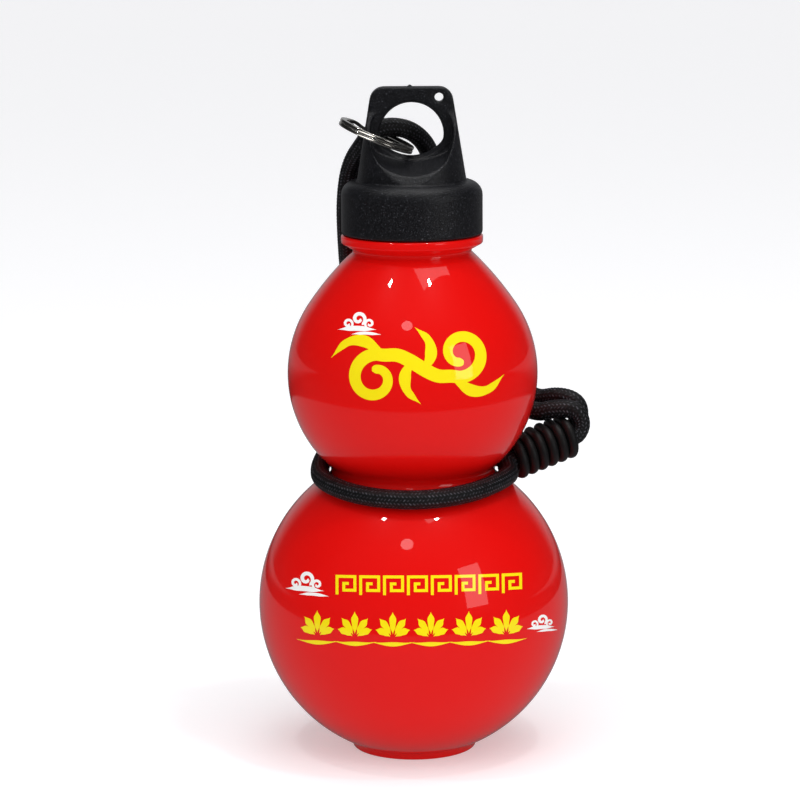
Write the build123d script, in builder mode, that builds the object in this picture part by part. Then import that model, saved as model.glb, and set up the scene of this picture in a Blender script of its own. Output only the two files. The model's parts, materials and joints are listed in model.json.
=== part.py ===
"""A gourd water bottle: a two-bulb bottle with a screw loop cap, a split ring and a cinched carry cord.

Lengths are in millimetres. The origin is the centre of the foot, on the surface that the bottle
stands on. +Z is up, +X is to the right and -Y is the front.
"""

from build123d import *
import math
import os

# Clearances
cut_overrun = 5.0
thread_clearance = 0.3
cap_gap = 0.3

# Bottle: two bulbs, a foot ring, a shoulder and a screw neck
wall = 1.5
lower_bulb_r = 50.0
upper_bulb_r = 40.0
bulb_spacing = 75.0
foot_r = 20.0
foot_width = 3.2
foot_round = 0.7
foot_drop = 2.0
base_rise = 3.6
waist_fillet = 2.5
shoulder_start_height = 22.4
neck_r = 19.0
neck_root_height = 39.2
neck_groove = 1.0
flange_r = 22.6
flange_slope_height = 2.0
flange_thickness = 2.6
flange_round = 0.8
finish_height = 13.8
finish_r = 18.0
mouth_bore_r = 16.0
rim_round = 0.4

# Screw thread, shared by the neck and the cap
thread_pitch = 4.0
thread_depth = 1.6
thread_root_width = 2.3
thread_crest_width = 1.1
thread_sink = 0.25
thread_start_height = 2.9
neck_thread_turns = 2
cap_thread_turns = 1.5

# Cap: a skirt with a round shoulder, and a loop with an eye on top
cap_r = 22.5
cap_foot_round = 0.6
seal_thickness = 1.6
seal_r = 19.2
seal_bore_r = 15.2
roof_thickness = 1.6
cap_shoulder_depth = 4.5
loop_base_r = 17.6
loop_base_half_width = 17.4
loop_top_half_width = 12.6
loop_top_r = 14.4
loop_height = 29.8
loop_corner_r = 4.6
plate_thickness = 6.0
front_plate_height = 22.4
back_plate_height = 13.1
back_flank_sag = 2.0
eye_land = 1.2
eye_r = 10.1
eye_height = 14.7
eye_floor_r = 12.4
eye_floor_drop = 6.6
eye_corner_r = 3.2
eye_flare_r = 10.9
eye_flare_floor_r = 13.5
eye_flare_floor_drop = 7.6
dish_back_r = 13.3
dish_back_floor_r = 24.0
dish_back_floor_drop = 8.1
dish_back_corner_r = 4.0
dish_r = 13.4
dish_floor_r = 18.0
dish_floor_drop = 12.4
dish_corner_r = 6.0
small_hole_r = 1.5
small_hole_x = 8.7
small_hole_height = 26.5
nub_r = 0.55
nub_height = 0.9
nub_x = -0.5

# Split ring: flat wire wound twice
ring_r = 12.5
ring_width = 2.0
ring_wire = 1.1
ring_coil_gap = 0.12
ring_tilt = 22.5
ring_x = -11.1
ring_height = 14.3
ring_jog = 16.0
ring_jog_azimuth = 120.0
ring_jog_steps = 6

# Cord, and the winding that cinches it
cord_d = 6.0
strand_gap = 0.1
wire_d = 3.1
wire_pitch = 3.55
wire_turns = 6
wire_clearance = 0.15
winding_azimuth = 18.0
winding_rise = 18.0
groove_r = 29.8
groove_height = 43.5
winding_reach = 6.1
winding_meeting = 4.6
noose_exit = -5.2
carry_exit = 21.0
run_share = 0.45

# The noose's route round the waist, chosen by hand, between the winding's front strand and its rear strand
noose_route = [
    (30.8, -12.4, 91.3),
    (18.8, -29.2, 89.3),
    (1.2, -35.9, 88.3),
    (-17.0, -30.8, 88.9),
    (-29.0, -16.2, 90.6),
    (-31.3, 2.0, 92.0),
    (-27.6, 19.8, 94.0),
    (-13.8, 32.4, 95.3),
    (4.6, 34.8, 95.5),
    (19.3, 27.1, 93.3),
]

# The carry loop's route, chosen by hand: from the winding's front strand round behind the upper bulb, up to
# the cap and through the ring, and back down to the winding's rear strand
carry_route = [
    (55.2, 14.6, 103.6),
    (52.8, 14.8, 108.0),
    (46.0, 15.8, 107.9),
    (40.4, 18.0, 106.0),
    (29.6, 32.8, 108.6),
    (14.2, 42.6, 108.6),
    (-2.6, 44.4, 112.6),
    (-12.6, 43.0, 124.4),
    (-18.0, 38.2, 137.8),
    (-20.6, 29.6, 150.6),
    (-21.2, 20.2, 163.6),
    (-21.4, 17.4, 177.0),
    (-19.6, 14.8, 188.6),
    (-14.9, 7.6, 196.0),
    (-12.6, 6.3, 200.2),
    (-6.6, 7.8, 201.8),
    (0.2, 10.6, 200.2),
    (5.2, 15.4, 194.2),
    (6.8, 23.8, 186.2),
    (5.2, 28.8, 174.8),
    (4.8, 30.4, 161.0),
    (5.6, 39.2, 148.4),
    (9.2, 45.4, 134.6),
    (19.4, 43.8, 120.0),
    (33.4, 37.4, 113.4),
    (40.8, 29.4, 108.4),
    (47.6, 24.2, 110.8),
    (53.8, 21.4, 109.4),
    (55.0, 20.9, 104.3),
]

# Heights that follow from the sizes above
lower_bulb_z = math.sqrt(lower_bulb_r**2 - foot_r**2) + foot_drop
upper_bulb_z = lower_bulb_z + bulb_spacing
neck_root_z = upper_bulb_z + neck_root_height
flange_bottom_z = neck_root_z + neck_groove + flange_slope_height
flange_top_z = flange_bottom_z + flange_thickness
mouth_z = flange_top_z + finish_height
cap_bottom_z = flange_top_z + cap_gap
cap_bore_r = finish_r + thread_depth + thread_clearance
roof_z = mouth_z + seal_thickness
crease_z = roof_z + roof_thickness
loop_top_z = crease_z + loop_height
eye_z = crease_z + eye_height
front_plate_z = crease_z + front_plate_height
back_plate_z = crease_z + back_plate_height
ring_z = crease_z + ring_height
waist_z = lower_bulb_z + groove_height


def gourd_half(inset, neck_half_width, neck_top_z):
    """The right half of the two bulbs and the neck as one outline, inset from the outside."""
    lower = Vector(0, lower_bulb_z)
    upper = Vector(0, upper_bulb_z)
    # The centre of the waist's round, which touches both bulbs
    lower_reach = lower_bulb_r + waist_fillet
    upper_reach = upper_bulb_r + waist_fillet
    rise = (bulb_spacing**2 + lower_reach**2 - upper_reach**2) / (2 * bulb_spacing)
    waist = Vector(math.sqrt(lower_reach**2 - rise**2), lower_bulb_z + rise)
    bulb_r = upper_bulb_r - inset
    start_height = shoulder_start_height * bulb_r / upper_bulb_r
    with BuildSketch(Plane.XZ) as half:
        with BuildLine():
            base = (0, lower_bulb_z - lower_bulb_r + inset)
            waist_start = lower + (waist - lower).normalized() * (lower_bulb_r - inset)
            waist_end = upper + (waist - upper).normalized() * bulb_r
            shoulder_start = (math.sqrt(bulb_r**2 - start_height**2), upper_bulb_z + start_height)
            lower_arc = TangentArc(base, waist_start, tangent=(1, 0))
            waist_arc = TangentArc(waist_start, waist_end, tangent=lower_arc % 1)
            upper_arc = TangentArc(waist_end, shoulder_start, tangent=waist_arc % 1)
            TangentArc(shoulder_start, (neck_half_width, neck_root_z), tangent=upper_arc % 1)
            Polyline(
                (neck_half_width, neck_root_z),
                (neck_half_width, neck_top_z),
                (0, neck_top_z),
                base,
            )
        make_face()
    return half.sketch


def ridge(radius, outward, start_z, turns):
    """A screw ridge on a wall of the given radius, which stands outward (1) or inward (-1)."""
    spiral = Helix(pitch=thread_pitch, height=thread_pitch * turns, radius=radius, center=(0, 0, start_z))
    with BuildPart() as made:
        with BuildSketch(Plane(origin=spiral @ 0, x_dir=(outward, 0, 0), z_dir=spiral % 0)):
            with BuildLine():
                Polyline(
                    (-thread_sink, -thread_root_width / 2),
                    (0, -thread_root_width / 2),
                    (thread_depth, -thread_crest_width / 2),
                    (thread_depth, thread_crest_width / 2),
                    (0, thread_root_width / 2),
                    (-thread_sink, thread_root_width / 2),
                    close=True,
                )
            make_face()
        sweep(path=spiral, is_frenet=True)
    return made.part


def make_bottle_body():
    """The bottle: a blow-moulded shell of even wall, with its foot ring, flange and screw neck."""
    outside = gourd_half(0, neck_r, neck_root_z + neck_groove)
    inside = gourd_half(wall, mouth_bore_r, mouth_z + cut_overrun)
    foot_middle_r = foot_r - foot_width / 2
    foot_inner_r = foot_r - foot_width
    neck_ridge = ridge(finish_r, 1, flange_top_z + thread_start_height, neck_thread_turns)
    with BuildPart() as bottle_body:
        revolve(profiles=outside, axis=Axis.Z)
        with BuildSketch(Plane.XY):
            Circle(foot_r)
        extrude(amount=foot_drop + wall)
        # The flange with its sloping underside, and the neck above it
        with BuildSketch(Plane.XZ) as flange:
            with BuildLine():
                Polyline(
                    (0, neck_root_z),
                    (neck_r, neck_root_z),
                    (neck_r, neck_root_z + neck_groove),
                    (flange_r, flange_bottom_z),
                    (flange_r, flange_top_z),
                    (finish_r, flange_top_z),
                    (finish_r, mouth_z),
                    (0, mouth_z),
                    close=True,
                )
            make_face()
            fillet(flange.vertices().filter_by(lambda v: v.X > (neck_r + flange_r) / 2), flange_round)
            fillet(flange.vertices().sort_by(Axis.Y)[-2:].sort_by(Axis.X)[-1:], rim_round)
        revolve(axis=Axis.Z)
        revolve(profiles=inside, axis=Axis.Z, mode=Mode.SUBTRACT)
        # The base, pushed up inside the foot ring
        with BuildSketch(Plane.XZ):
            with BuildLine():
                Polyline((0, base_rise + wall), (0, 0), (foot_middle_r, 0), (foot_middle_r, wall))
                TangentArc((0, base_rise + wall), (foot_middle_r, wall), tangent=(1, 0))
            make_face()
        revolve(axis=Axis.Z)
        with BuildSketch(Plane.XZ):
            with BuildLine():
                Polyline((0, base_rise), (0, -cut_overrun), (foot_inner_r, -cut_overrun), (foot_inner_r, 0))
                TangentArc((0, base_rise), (foot_inner_r, 0), tangent=(1, 0))
            make_face()
        revolve(axis=Axis.Z, mode=Mode.SUBTRACT)
        fillet(bottle_body.edges().group_by(Axis.Z)[0], foot_round)
        add(neck_ridge)
    return bottle_body


def make_cap_seal():
    """The flat silicone ring between the cap's roof and the bottle's rim."""
    with BuildPart() as cap_seal:
        with BuildSketch(Plane.XY.offset(mouth_z)):
            Circle(seal_r)
            Circle(seal_bore_r, mode=Mode.SUBTRACT)
        extrude(amount=seal_thickness)
    return cap_seal


def eye_outline(y, top_r, floor_r, floor_drop, corner_r):
    """The eye's outline in a plane across Y: a round top, a flatter floor and blended corners."""
    floor_z = eye_z - floor_drop
    rise = floor_r - floor_drop
    corner_height = (top_r**2 - floor_r**2 + rise**2) / (2 * rise)
    corner_x = math.sqrt(top_r**2 - corner_height**2)
    left = (-corner_x, eye_z + corner_height)
    right = (corner_x, eye_z + corner_height)
    with BuildSketch(Plane.XZ.offset(-y)) as outline:
        with BuildLine():
            ThreePointArc(left, (0, eye_z + top_r), right)
            ThreePointArc(right, (0, floor_z), left)
        make_face()
        fillet(outline.vertices(), corner_r)
    return outline.sketch


def make_loop():
    """The loop on the cap: a tapering fin on a round base, with an eye that opens into a dish each side."""
    half_plate = plate_thickness / 2
    sunk_z = crease_z - roof_thickness / 2
    with BuildPart() as loop:
        # The front outline
        with BuildSketch(Plane.XZ) as front:
            with BuildLine():
                Polyline(
                    (-loop_base_half_width, sunk_z),
                    (-loop_base_half_width, crease_z),
                    (-loop_top_half_width, loop_top_z),
                    (loop_top_half_width, loop_top_z),
                    (loop_base_half_width, crease_z),
                    (loop_base_half_width, sunk_z),
                    close=True,
                )
            make_face()
            fillet(front.vertices().group_by(Axis.Y)[-1], loop_corner_r)
        extrude(amount=loop_base_r, both=True)
        # The side outline: a straight slope in front, and a hollow one behind, where the cord passes
        with BuildSketch(Plane.YZ):
            with BuildLine():
                Polyline(
                    (half_plate, back_plate_z),
                    (half_plate, loop_top_z + cut_overrun),
                    (-half_plate, loop_top_z + cut_overrun),
                    (-half_plate, front_plate_z),
                    (-loop_base_r, crease_z),
                    (-loop_base_r, sunk_z),
                    (loop_base_r, sunk_z),
                    (loop_base_r, crease_z),
                )
                SagittaArc((loop_base_r, crease_z), (half_plate, back_plate_z), back_flank_sag)
            make_face()
        extrude(amount=loop_base_r, both=True, mode=Mode.INTERSECT)
        # The round base
        with BuildSketch(Plane.XY.offset(sunk_z)):
            Circle(loop_base_r)
        with BuildSketch(Plane.XY.offset(loop_top_z)):
            Circle(loop_top_r)
        loft(mode=Mode.INTERSECT)
        # The eye, which flares to each face of the plate, and the dish scooped out below it on each side
        for side_sign in (-1, 1):
            land_y, face_y, end_y = (side_sign * y for y in (eye_land / 2, half_plate, loop_base_r))
            eye = eye_outline(land_y, eye_r, eye_floor_r, eye_floor_drop, eye_corner_r)
            flare = eye_outline(face_y, eye_flare_r, eye_flare_floor_r, eye_flare_floor_drop, eye_corner_r)
            back = eye_outline(face_y, dish_back_r, dish_back_floor_r, dish_back_floor_drop, dish_back_corner_r)
            dish = eye_outline(end_y, dish_r, dish_floor_r, dish_floor_drop, dish_corner_r)
            loft(sections=[eye, flare], ruled=True, mode=Mode.SUBTRACT)
            loft(sections=[back, dish], ruled=True, mode=Mode.SUBTRACT)
        extrude(to_extrude=eye, amount=eye_land, dir=(0, -1, 0), mode=Mode.SUBTRACT)
        # The small hole
        with BuildSketch(Plane.XZ):
            with Locations((small_hole_x, crease_z + small_hole_height)):
                Circle(small_hole_r)
        extrude(amount=plate_thickness, both=True, mode=Mode.SUBTRACT)
        # The gate nub left by moulding
        with BuildSketch(Plane.XY.offset(loop_top_z - nub_height)):
            with Locations((nub_x, 0)):
                Circle(nub_r)
        extrude(amount=2 * nub_height)
    return loop


def make_cap():
    """The loop cap: the skirt with its round shoulder and inside thread, and the loop on its roof."""
    cap_ridge_z = flange_top_z + thread_start_height + thread_pitch / 2
    cap_ridge = ridge(cap_bore_r, -1, cap_ridge_z, cap_thread_turns)
    loop = make_loop()
    with BuildPart() as cap:
        with BuildSketch(Plane.XZ) as skirt:
            with BuildLine():
                Polyline(
                    (loop_base_r, crease_z),
                    (0, crease_z),
                    (0, roof_z),
                    (cap_bore_r, roof_z),
                    (cap_bore_r, cap_bottom_z),
                    (cap_r, cap_bottom_z),
                    (cap_r, crease_z - cap_shoulder_depth),
                )
                TangentArc((cap_r, crease_z - cap_shoulder_depth), (loop_base_r, crease_z), tangent=(0, 1))
            make_face()
            fillet(skirt.vertices().group_by(Axis.Y)[0].sort_by(Axis.X)[-1:], cap_foot_round)
        revolve(axis=Axis.Z)
        add(loop.part)
        add(cap_ridge)
    return cap


def make_split_ring():
    """The split ring: flat wire in two turns that lie on each other, with one step between them."""
    tilt = math.radians(ring_tilt)
    centre = (ring_x, 0, ring_z)
    frame = Plane(origin=centre, x_dir=(math.cos(tilt), 0, -math.sin(tilt)), z_dir=(math.sin(tilt), 0, math.cos(tilt)))
    step = ring_wire + ring_coil_gap
    middle_r = ring_r - ring_width / 2

    def section(azimuth, height):
        """The wire's section in the plane through the ring's axis at this azimuth."""
        angle = math.radians(azimuth)
        outward = (math.cos(angle), math.sin(angle), 0)
        around = (-math.sin(angle), math.cos(angle), 0)
        at = (middle_r * outward[0], middle_r * outward[1], height)
        with BuildSketch(Plane(origin=at, x_dir=outward, z_dir=around)) as wire:
            Rectangle(ring_width, ring_wire)
        return wire.sketch

    with BuildPart() as coil:
        full_turn = 360
        for height in (-step / 2, step / 2):
            start = section(ring_jog_azimuth + ring_jog, height)
            revolve(profiles=start, axis=Axis.Z, revolution_arc=full_turn - 2 * ring_jog)
        rise_sections = []
        for index in range(ring_jog_steps + 1):
            share = index / ring_jog_steps
            azimuth = ring_jog_azimuth + ring_jog * (2 * share - 1)
            rise_sections.append(section(azimuth, -step / 2 * math.cos(math.pi * share)))
        loft(sections=rise_sections, ruled=True)
    with BuildPart() as split_ring:
        add(frame * coil.part)
    return split_ring


def winding_frame():
    """The winding's frame: its start on the axis, +X across the two strands and +Z along them."""
    turn = math.radians(winding_azimuth)
    rise = math.radians(winding_rise)
    along = Vector(math.cos(rise) * math.cos(turn), math.cos(rise) * math.sin(turn), math.sin(rise))
    in_groove = Vector(groove_r * math.cos(turn), groove_r * math.sin(turn), waist_z)
    return Plane(origin=in_groove + along * winding_reach, x_dir=(-math.sin(turn), math.cos(turn), 0), z_dir=along)


def corner_radii(points):
    """The radius at each corner of a route: as large as its two runs allow."""
    corners = [Vector(*point) for point in points]
    radii = []
    for before, corner, after in zip(corners, corners[1:], corners[2:]):
        shorter = min((corner - before).length, (after - corner).length)
        turn = math.radians((corner - before).get_angle(after - corner))
        radii.append(run_share * shorter / math.tan(turn / 2))
    return radii


def make_cord(name, route, exit_height):
    """A round cord along a route, whose ends lie in the winding and meet the other cord's ends there."""
    frame = winding_frame()
    strand_x = (cord_d + strand_gap) / 2
    front = [frame.from_local_coords(Vector(-strand_x, 0, height)) for height in (winding_meeting, exit_height)]
    rear = [frame.from_local_coords(Vector(strand_x, 0, height)) for height in (exit_height, winding_meeting)]
    points = [tuple(point) for point in (*front, *(Vector(*place) for place in route), *rear)]
    radii = corner_radii(points)
    with BuildPart() as cord:
        with BuildLine() as path:
            FilletPolyline(*points, radius=radii)
        wire = path.wires()[0]
        with BuildSketch(Plane(origin=wire @ 0, z_dir=wire % 0)):
            Circle(cord_d / 2)
        sweep(path=wire)
    length = wire.length
    section = math.pi * cord_d**2 / 4
    print(f"{name}: length {length:.1f} mm, volume over section times length {cord.part.volume / section / length:.4f}")
    print(f"{name}: radii", " ".join(f"{radius:.0f}" for radius in radii))
    return cord


def biarc(start, start_way, end, end_way):
    """Two arcs that leave start along start_way and arrive at end along end_way."""
    span = end - start
    bend = 1 - start_way.dot(end_way)
    reach = span.dot(start_way + end_way)
    arm = (-reach + math.sqrt(reach**2 + 2 * bend * span.dot(span))) / (2 * bend)
    before = start + start_way * arm
    after = end - end_way * arm
    middle = (before + after) / 2
    TangentArc(start, middle, tangent=start_way)
    TangentArc(middle, end, tangent=after - before)


def least_gap(wire, diameter, turn_length):
    """The least gap between stretches of a tube that are more than half a turn apart."""
    count = math.ceil(4 * wire.length / diameter)
    points = [tuple(wire.position_at(index / count)) for index in range(count + 1)]
    apart = math.ceil(turn_length / 2 / wire.length * count)
    nearest = min(
        math.dist(point, other) for index, point in enumerate(points) for other in points[index + apart :]
    )
    return nearest - diameter


def make_strap_winding():
    """The smooth cord wound round the two strands in one unbroken tube, which cinches the noose."""
    frame = winding_frame()
    flat = (cord_d + strand_gap) / 2
    round_r = cord_d / 2 + wire_clearance + wire_d / 2
    quarter = math.pi * round_r / 2
    turn_length = 4 * flat + 4 * quarter
    slope = wire_pitch / turn_length
    # One turn's places and headings, from the flat below the strands, with the length to the next
    turn_nodes = [
        ((flat, -round_r), (-1, 0), 2 * flat),
        ((-flat, -round_r), (-1, 0), quarter),
        ((-flat - round_r, 0), (0, 1), quarter),
        ((-flat, round_r), (1, 0), 2 * flat),
        ((flat, round_r), (1, 0), quarter),
        ((flat + round_r, 0), (0, -1), quarter),
    ]
    nodes = []
    height = -wire_pitch / 2
    for turn in range(wire_turns + 1):
        for place, heading, length in turn_nodes:
            at = frame.from_local_coords(Vector(place[0], place[1], height))
            ahead = frame.from_local_coords(Vector(place[0] + heading[0], place[1] + heading[1], height + slope))
            nodes.append((at, (ahead - at).normalized()))
            height += length * slope
    kept = nodes[: wire_turns * len(turn_nodes) + 1]
    with BuildPart() as winding:
        with BuildLine() as path:
            for (start, start_way), (end, end_way) in zip(kept, kept[1:]):
                if start_way.get_angle(end_way) < run_share:
                    Line(start, end)
                else:
                    biarc(start, start_way, end, end_way)
        wire = path.wires()[0]
        with BuildSketch(Plane(origin=wire @ 0, z_dir=wire % 0)):
            Circle(wire_d / 2)
        sweep(path=wire)
    print(f"winding: length {wire.length:.1f} mm, least gap to itself {least_gap(wire, wire_d, turn_length):.2f} mm")
    return winding


def write(name, built):
    """Labels one finished piece and writes it to its own file."""
    built.part.label = name
    export_step(built.part, f"parts/{name}.step")


os.makedirs("parts", exist_ok=True)
write("bottle_body", make_bottle_body())
write("cap_seal", make_cap_seal())
write("cap", make_cap())
write("split_ring", make_split_ring())
write("strap_noose", make_cord("noose", noose_route, noose_exit))
write("strap_carry_loop", make_cord("carry loop", carry_route, carry_exit))
write("strap_winding", make_strap_winding())
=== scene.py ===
"""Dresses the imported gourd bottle: a gloss red body, a moulded loop cap, a split ring and braided cords.

Sizes in the classes are millimetres, as on the part's drawing, and MM turns them to Blender's metres.
The cords' routes are in metres, in the model's frame: +Z up, +X to the right and -Y the front.
"""

from __future__ import annotations

import json
import logging
import math
from dataclasses import dataclass
from enum import Enum
from typing import Any, Iterable, Sequence

import bpy
from bpy.types import Material, Node, NodeSocket, NodeTree, Object
from mathutils import Matrix, Vector

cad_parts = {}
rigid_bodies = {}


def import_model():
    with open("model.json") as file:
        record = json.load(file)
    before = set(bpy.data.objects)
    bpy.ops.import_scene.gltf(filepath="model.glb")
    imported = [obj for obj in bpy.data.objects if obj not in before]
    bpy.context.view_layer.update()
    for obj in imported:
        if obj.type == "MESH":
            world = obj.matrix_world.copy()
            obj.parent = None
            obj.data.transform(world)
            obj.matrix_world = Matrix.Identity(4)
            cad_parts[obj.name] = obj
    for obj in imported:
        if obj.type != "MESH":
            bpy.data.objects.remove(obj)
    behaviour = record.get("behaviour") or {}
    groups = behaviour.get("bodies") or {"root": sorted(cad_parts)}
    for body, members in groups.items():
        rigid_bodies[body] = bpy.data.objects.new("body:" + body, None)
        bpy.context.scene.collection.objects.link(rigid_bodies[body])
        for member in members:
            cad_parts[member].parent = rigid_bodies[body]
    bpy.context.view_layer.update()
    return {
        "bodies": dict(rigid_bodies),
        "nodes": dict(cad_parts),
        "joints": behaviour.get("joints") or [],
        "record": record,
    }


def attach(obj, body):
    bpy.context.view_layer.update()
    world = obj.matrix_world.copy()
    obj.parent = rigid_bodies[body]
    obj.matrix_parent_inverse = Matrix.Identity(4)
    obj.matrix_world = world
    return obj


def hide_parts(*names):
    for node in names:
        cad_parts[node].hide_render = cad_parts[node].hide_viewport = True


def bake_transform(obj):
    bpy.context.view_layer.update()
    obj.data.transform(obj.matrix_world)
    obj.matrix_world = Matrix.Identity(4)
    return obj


MM = 0.001
FULL_TURN = 2 * math.pi
# A round tube's end draws in over this many rings, to this share of its radius.
DOME_RINGS = 4
DOME_TIP = 0.02
# An arc that bulges less than this many millimetres is drawn straight.
STRAIGHT = 1e-6
LEAST_ARC_STEPS = 6
SMOOTH = {"interpolation_type": "SMOOTHSTEP"}
LOG = logging.getLogger("gourd_bottle")

Point = tuple[float, float, float]
FlatPoint = tuple[float, float]
Face = tuple[int, ...]


class Side(Enum):
    """Which side of a pattern's middle a part lies on."""

    LEFT = -1
    RIGHT = 1


class LampFace(Enum):
    """The shape of a soft box's face."""

    RECTANGLE = "RECTANGLE"
    DISK = "DISK"


def linear(hex_colour: str) -> tuple[float, float, float, float]:
    """Turns an sRGB hex colour to linear red, green, blue and alpha.

    Args:
        hex_colour: The colour, such as "#D9100F".

    Returns:
        Its linear components, with an alpha of one.
    """
    channels = [int(hex_colour[at : at + 2], 16) / 255 for at in (1, 3, 5)]
    red, green, blue = (c / 12.92 if c <= 0.04045 else ((c + 0.055) / 1.055) ** 2.4 for c in channels)
    return red, green, blue, 1.0


def add_node(
    tree: NodeTree,
    kind: str,
    settings: dict[str, Any] | None = None,
    inputs: dict[str | int, Any] | None = None,
) -> Node:
    """Adds one node with its settings, its inputs' values and its links.

    Args:
        tree: The node tree that gets it.
        kind: The node's type name.
        settings: The node's own settings by name.
        inputs: A value, or a socket to link from, for each input by name or place.

    Returns:
        The new node.
    """
    node = tree.nodes.new(kind)
    for name, value in (settings or {}).items():
        setattr(node, name, value)
    for name, value in (inputs or {}).items():
        if isinstance(value, NodeSocket):
            tree.links.new(value, node.inputs[name])
        else:
            node.inputs[name].default_value = value
    return node


def new_tree(name: str) -> tuple[Material, NodeTree]:
    """Makes an empty node material.

    Args:
        name: The material's name.

    Returns:
        The material and its node tree.
    """
    material = bpy.data.materials.new(name)
    material.use_nodes = True
    material.node_tree.nodes.clear()
    return material, material.node_tree


def set_ramp(ramp: Node, stops: Sequence[tuple[float, str]]) -> None:
    """Sets a colour ramp's stops.

    Args:
        ramp: The colour ramp node.
        stops: Each stop's place and sRGB hex colour.
    """
    elements = ramp.color_ramp.elements
    while len(elements) < len(stops):
        elements.new(1.0)
    for element, (place, colour) in zip(elements, stops):
        element.position = place
        element.color = linear(colour)


def grain(tree: NodeTree, spacing: float, height: float, **noise: float) -> tuple[NodeSocket, NodeSocket]:
    """Lays an uneven grain on a surface: a noise in the object's own space and the bump that it makes.

    Args:
        tree: The material's node tree.
        spacing: The grain's spacing in millimetres.
        height: Its height in millimetres.
        noise: The noise's other inputs.

    Returns:
        The noise's value and the bumped normal.
    """
    place = add_node(tree, "ShaderNodeTexCoord").outputs["Object"]
    inputs = {"Vector": place, "Scale": 1 / (spacing * MM), **noise}
    value = add_node(tree, "ShaderNodeTexNoise", inputs=inputs).outputs["Fac"]
    inputs = {"Strength": 1.0, "Distance": height * MM, "Height": value}
    return value, add_node(tree, "ShaderNodeBump", inputs=inputs).outputs["Normal"]


def surface(tree: NodeTree, inputs: dict[str | int, Any]) -> None:
    """Ends a material's tree with its shader and output.

    Args:
        tree: The material's node tree.
        inputs: The shader's inputs.
    """
    shader = add_node(tree, "ShaderNodeBsdfPrincipled", inputs=inputs)
    add_node(tree, "ShaderNodeOutputMaterial", inputs={"Surface": shader.outputs["BSDF"]})


@dataclass(frozen=True)
class LacqueredRed:
    """Blow-moulded plastic with a clear lacquer: deep even red with sharp reflections on faint waves."""

    colour: str = "#DE0C09"
    ior: float = 1.5
    roughness: float = 0.35
    under_coat_mirror: float = 0.05
    coat: float = 1.0
    coat_roughness: float = 0.02
    wave_spacing: float = 14.0
    wave_height: float = 0.02

    def make(self) -> Material:
        """Makes the material.

        Returns:
            The material.
        """
        material, tree = new_tree("red lacquered blow-moulded plastic")
        _, normal = grain(tree, self.wave_spacing, self.wave_height, Detail=1.0)
        inputs = {
            "Base Color": linear(self.colour),
            "Roughness": self.roughness,
            "IOR": self.ior,
            "Specular IOR Level": self.under_coat_mirror,
            "Coat Weight": self.coat,
            "Coat Roughness": self.coat_roughness,
            "Normal": normal,
            "Coat Normal": normal,
        }
        surface(tree, inputs)
        return material


@dataclass(frozen=True)
class ScreenPrintInk:
    """Screen-printed enamel ink under the lacquer: flat opaque colour with a thin raised edge."""

    name: str
    colour: str
    roughness: float = 0.35
    under_coat_mirror: float = 0.05
    coat: float = 1.0
    coat_roughness: float = 0.04
    mesh_spacing: float = 0.3
    mesh_height: float = 0.006

    def make(self) -> Material:
        """Makes the material. The print screen's dots are drawn at 0.3 mm, coarser than real, so they show.

        Returns:
            The material.
        """
        material, tree = new_tree(self.name)
        _, normal = grain(tree, self.mesh_spacing, self.mesh_height, Detail=0.0)
        inputs = {
            "Base Color": linear(self.colour),
            "Roughness": self.roughness,
            "Specular IOR Level": self.under_coat_mirror,
            "Coat Weight": self.coat,
            "Coat Roughness": self.coat_roughness,
            "Normal": normal,
        }
        surface(tree, inputs)
        return material


@dataclass(frozen=True)
class ErodedBlackPlastic:
    """Polypropylene moulded in a spark-eroded tool: near-black satin with a fine grain, whose highest points
    are painted pale as a painted sparkle highlight.
    """

    colour: str = "#0D0D10"
    grain_colour: str = "#1B1C20"
    painted_sparkle_colour: str = "#5C5D64"
    roughness: float = 0.4
    grain_spacing: float = 0.48
    grain_height: float = 0.13
    ior: float = 1.49

    def make(self) -> Material:
        """Makes the material. The grain is drawn at 0.48 mm, coarser than real, so it shows.

        Returns:
            The material.
        """
        material, tree = new_tree("black spark-eroded polypropylene")
        value, normal = grain(tree, self.grain_spacing, self.grain_height, Detail=3.0, Roughness=0.6)
        tint = add_node(tree, "ShaderNodeValToRGB", inputs={"Fac": value})
        # Painted highlight: the grain's highest points are painted pale, as sparkles of light on the grain.
        set_ramp(tint, [(0.42, self.colour), (0.63, self.grain_colour), (0.77, self.painted_sparkle_colour)])
        inputs = {
            "Base Color": tint.outputs["Color"],
            "Roughness": self.roughness,
            "IOR": self.ior,
            "Normal": normal,
        }
        surface(tree, inputs)
        return material


@dataclass(frozen=True)
class NickelPlatedSteel:
    """Drawn steel wire with bright nickel plate: a slightly warm mirror with fine handling scuffs."""

    colour: str = "#DAD6CF"
    roughness_low: float = 0.14
    roughness_high: float = 0.22
    scuff_spacing: float = 4.0
    scuff_span: FlatPoint = (0.35, 0.75)

    def make(self) -> Material:
        """Makes the material.

        Returns:
            The material.
        """
        material, tree = new_tree("bright nickel-plated steel wire")
        place = add_node(tree, "ShaderNodeTexCoord").outputs["Object"]
        scale = {"Vector": place, "Scale": 1 / (self.scuff_spacing * MM), "Detail": 2.0}
        scuffs = add_node(tree, "ShaderNodeTexNoise", inputs=scale).outputs["Fac"]
        start, end = self.scuff_span
        roughened = {"To Min": self.roughness_low, "To Max": self.roughness_high}
        span = {"Value": scuffs, "From Min": start, "From Max": end, **roughened}
        roughness = add_node(tree, "ShaderNodeMapRange", inputs=span).outputs["Result"]
        surface(tree, {"Base Color": linear(self.colour), "Metallic": 1.0, "Roughness": roughness})
        return material


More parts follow.
